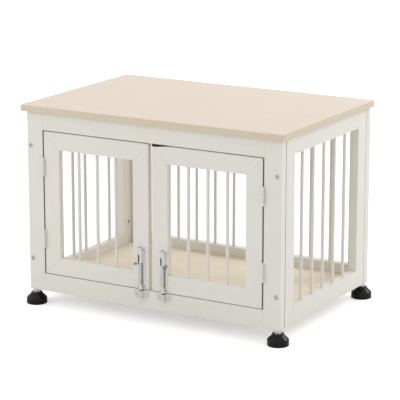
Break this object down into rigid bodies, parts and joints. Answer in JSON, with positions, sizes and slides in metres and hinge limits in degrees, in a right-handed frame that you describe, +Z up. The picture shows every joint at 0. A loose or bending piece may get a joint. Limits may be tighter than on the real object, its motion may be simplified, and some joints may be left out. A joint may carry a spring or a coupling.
{
  "type": "dog crate end table",
  "caption": "End table with an overhanging top over a barred wooden dog crate, double doors with tower bolts, and levelling feet.",
  "frame": {"origin": "on the floor, under the middle of the case and of the whole table", "axes": "+X to the table's right seen from the front, +Y to the back, +Z up"},
  "size_m": [0.71, 0.484, 0.49],
  "materials": {
    "case_paint": "satin off-white paint",
    "bar_paint": "satin off-white paint",
    "tabletop_laminate": "smooth pale beige laminate",
    "floor_wood": "light maple, satin",
    "hinge_paint": "cream paint",
    "bolt_chrome": "polished",
    "zinc_steel": "zinc plated",
    "foot_plastic": "glossy black",
    "catch_plastic": "black"
  },
  "bodies": {
    "crate": {"tabletop": "tabletop_laminate", "front_left_stile": "case_paint", "front_right_stile": "case_paint", "front_top_rail": "case_paint", "front_bottom_rail": "case_paint", "back_left_stile": "case_paint", "back_right_stile": "case_paint", "back_top_rail": "case_paint", "back_bottom_rail": "case_paint", "back_bars": "bar_paint", "left_side_front_stile": "case_paint", "left_side_back_stile": "case_paint", "left_side_top_rail": "case_paint", "left_side_bottom_rail": "case_paint", "left_side_bars": "bar_paint", "right_side_front_stile": "case_paint", "right_side_back_stile": "case_paint", "right_side_top_rail": "case_paint", "right_side_bottom_rail": "case_paint", "right_side_bars": "bar_paint", "floor_panel": "floor_wood", "floor_cleats": "floor_wood", "frame_hinge_leaves": "hinge_paint", "hinge_pins": "hinge_paint", "frame_screws": "zinc_steel", "bolt_keepers": "bolt_chrome", "door_catch": "catch_plastic", "frame_bolts": "zinc_steel", "bolt_nuts": "zinc_steel", "foot_inserts": "zinc_steel", "top_brackets": "zinc_steel"},
    "left_door": {"left_door_hinge_stile": "case_paint", "left_door_latch_stile": "case_paint", "left_door_top_rail": "case_paint", "left_door_bottom_rail": "case_paint", "left_door_bars": "bar_paint", "left_door_hinge_leaves": "hinge_paint", "left_door_screws": "zinc_steel", "left_door_bolt_plate": "bolt_chrome"},
    "right_door": {"right_door_hinge_stile": "case_paint", "right_door_latch_stile": "case_paint", "right_door_top_rail": "case_paint", "right_door_bottom_rail": "case_paint", "right_door_bars": "bar_paint", "right_door_hinge_leaves": "hinge_paint", "right_door_screws": "zinc_steel", "right_door_bolt_plate": "bolt_chrome"},
    "left_bolt_rod": {"left_bolt_rod": "bolt_chrome"},
    "left_bolt_knob": {"left_bolt_knob": "bolt_chrome"},
    "right_bolt_rod": {"right_bolt_rod": "bolt_chrome"},
    "right_bolt_knob": {"right_bolt_knob": "bolt_chrome"},
    "foot_front_left_pad": {"foot_front_left_pad": "foot_plastic"},
    "foot_front_left_stud": {"foot_front_left_stud": "zinc_steel"},
    "foot_front_right_pad": {"foot_front_right_pad": "foot_plastic"},
    "foot_front_right_stud": {"foot_front_right_stud": "zinc_steel"},
    "foot_back_left_pad": {"foot_back_left_pad": "foot_plastic"},
    "foot_back_left_stud": {"foot_back_left_stud": "zinc_steel"},
    "foot_back_right_pad": {"foot_back_right_pad": "foot_plastic"},
    "foot_back_right_stud": {"foot_back_right_stud": "zinc_steel"}
  },
  "joints": [
    {"name": "left_door_hinge", "type": "hinge", "parent": "crate", "child": "left_door", "pos_m": [-0.295, -0.2323, 0.25525], "axis": [0, 0, -1], "range_deg": [0, 170]},
    {"name": "right_door_hinge", "type": "hinge", "parent": "crate", "child": "right_door", "pos_m": [0.295, -0.2323, 0.25525], "axis": [0, 0, 1], "range_deg": [0, 170]},
    {"name": "left_bolt_slide", "type": "slide", "parent": "left_door", "child": "left_bolt_rod", "axis": [0, 0, 1], "range_m": [-0.0155, 0]},
    {"name": "left_knob_turn", "type": "hinge", "parent": "left_bolt_rod", "child": "left_bolt_knob", "pos_m": [-0.024, -0.2336, 0.144], "axis": [0, 0, 1], "range_deg": [-30, 160]},
    {"name": "right_bolt_slide", "type": "slide", "parent": "right_door", "child": "right_bolt_rod", "axis": [0, 0, 1], "range_m": [-0.0155, 0]},
    {"name": "right_knob_turn", "type": "hinge", "parent": "right_bolt_rod", "child": "right_bolt_knob", "pos_m": [0.0365, -0.2336, 0.144], "axis": [0, 0, 1], "range_deg": [-160, 30]},
    {"name": "front_left_foot_extend", "type": "slide", "parent": "crate", "child": "foot_front_left_pad", "axis": [0, 0, 1], "range_m": [-0.012, 0]},
    {"name": "front_left_foot_turn", "type": "hinge", "parent": "foot_front_left_pad", "child": "foot_front_left_stud", "pos_m": [-0.33, -0.217, 0.0325], "axis": [0, 0, 1], "range_deg": [-3456.1, 0]},
    {"name": "front_right_foot_extend", "type": "slide", "parent": "crate", "child": "foot_front_right_pad", "axis": [0, 0, 1], "range_m": [-0.012, 0]},
    {"name": "front_right_foot_turn", "type": "hinge", "parent": "foot_front_right_pad", "child": "foot_front_right_stud", "pos_m": [0.33, -0.217, 0.0325], "axis": [0, 0, 1], "range_deg": [-3456.1, 0]},
    {"name": "back_left_foot_extend", "type": "slide", "parent": "crate", "child": "foot_back_left_pad", "axis": [0, 0, 1], "range_m": [-0.012, 0]},
    {"name": "back_left_foot_turn", "type": "hinge", "parent": "foot_back_left_pad", "child": "foot_back_left_stud", "pos_m": [-0.33, 0.217, 0.0325], "axis": [0, 0, 1], "range_deg": [-3456.1, 0]},
    {"name": "back_right_foot_extend", "type": "slide", "parent": "crate", "child": "foot_back_right_pad", "axis": [0, 0, 1], "range_m": [-0.012, 0]},
    {"name": "back_right_foot_turn", "type": "hinge", "parent": "foot_back_right_pad", "child": "foot_back_right_stud", "pos_m": [0.33, 0.217, 0.0325], "axis": [0, 0, 1], "range_deg": [-3456.1, 0]}
  ],
  "couplings": [
    {"joint": "front_left_foot_turn", "follows": "front_left_foot_extend", "rad_per_m": 5026.5},
    {"joint": "front_right_foot_turn", "follows": "front_right_foot_extend", "rad_per_m": 5026.5},
    {"joint": "back_left_foot_turn", "follows": "back_left_foot_extend", "rad_per_m": 5026.5},
    {"joint": "back_right_foot_turn", "follows": "back_right_foot_extend", "rad_per_m": 5026.5}
  ]
}
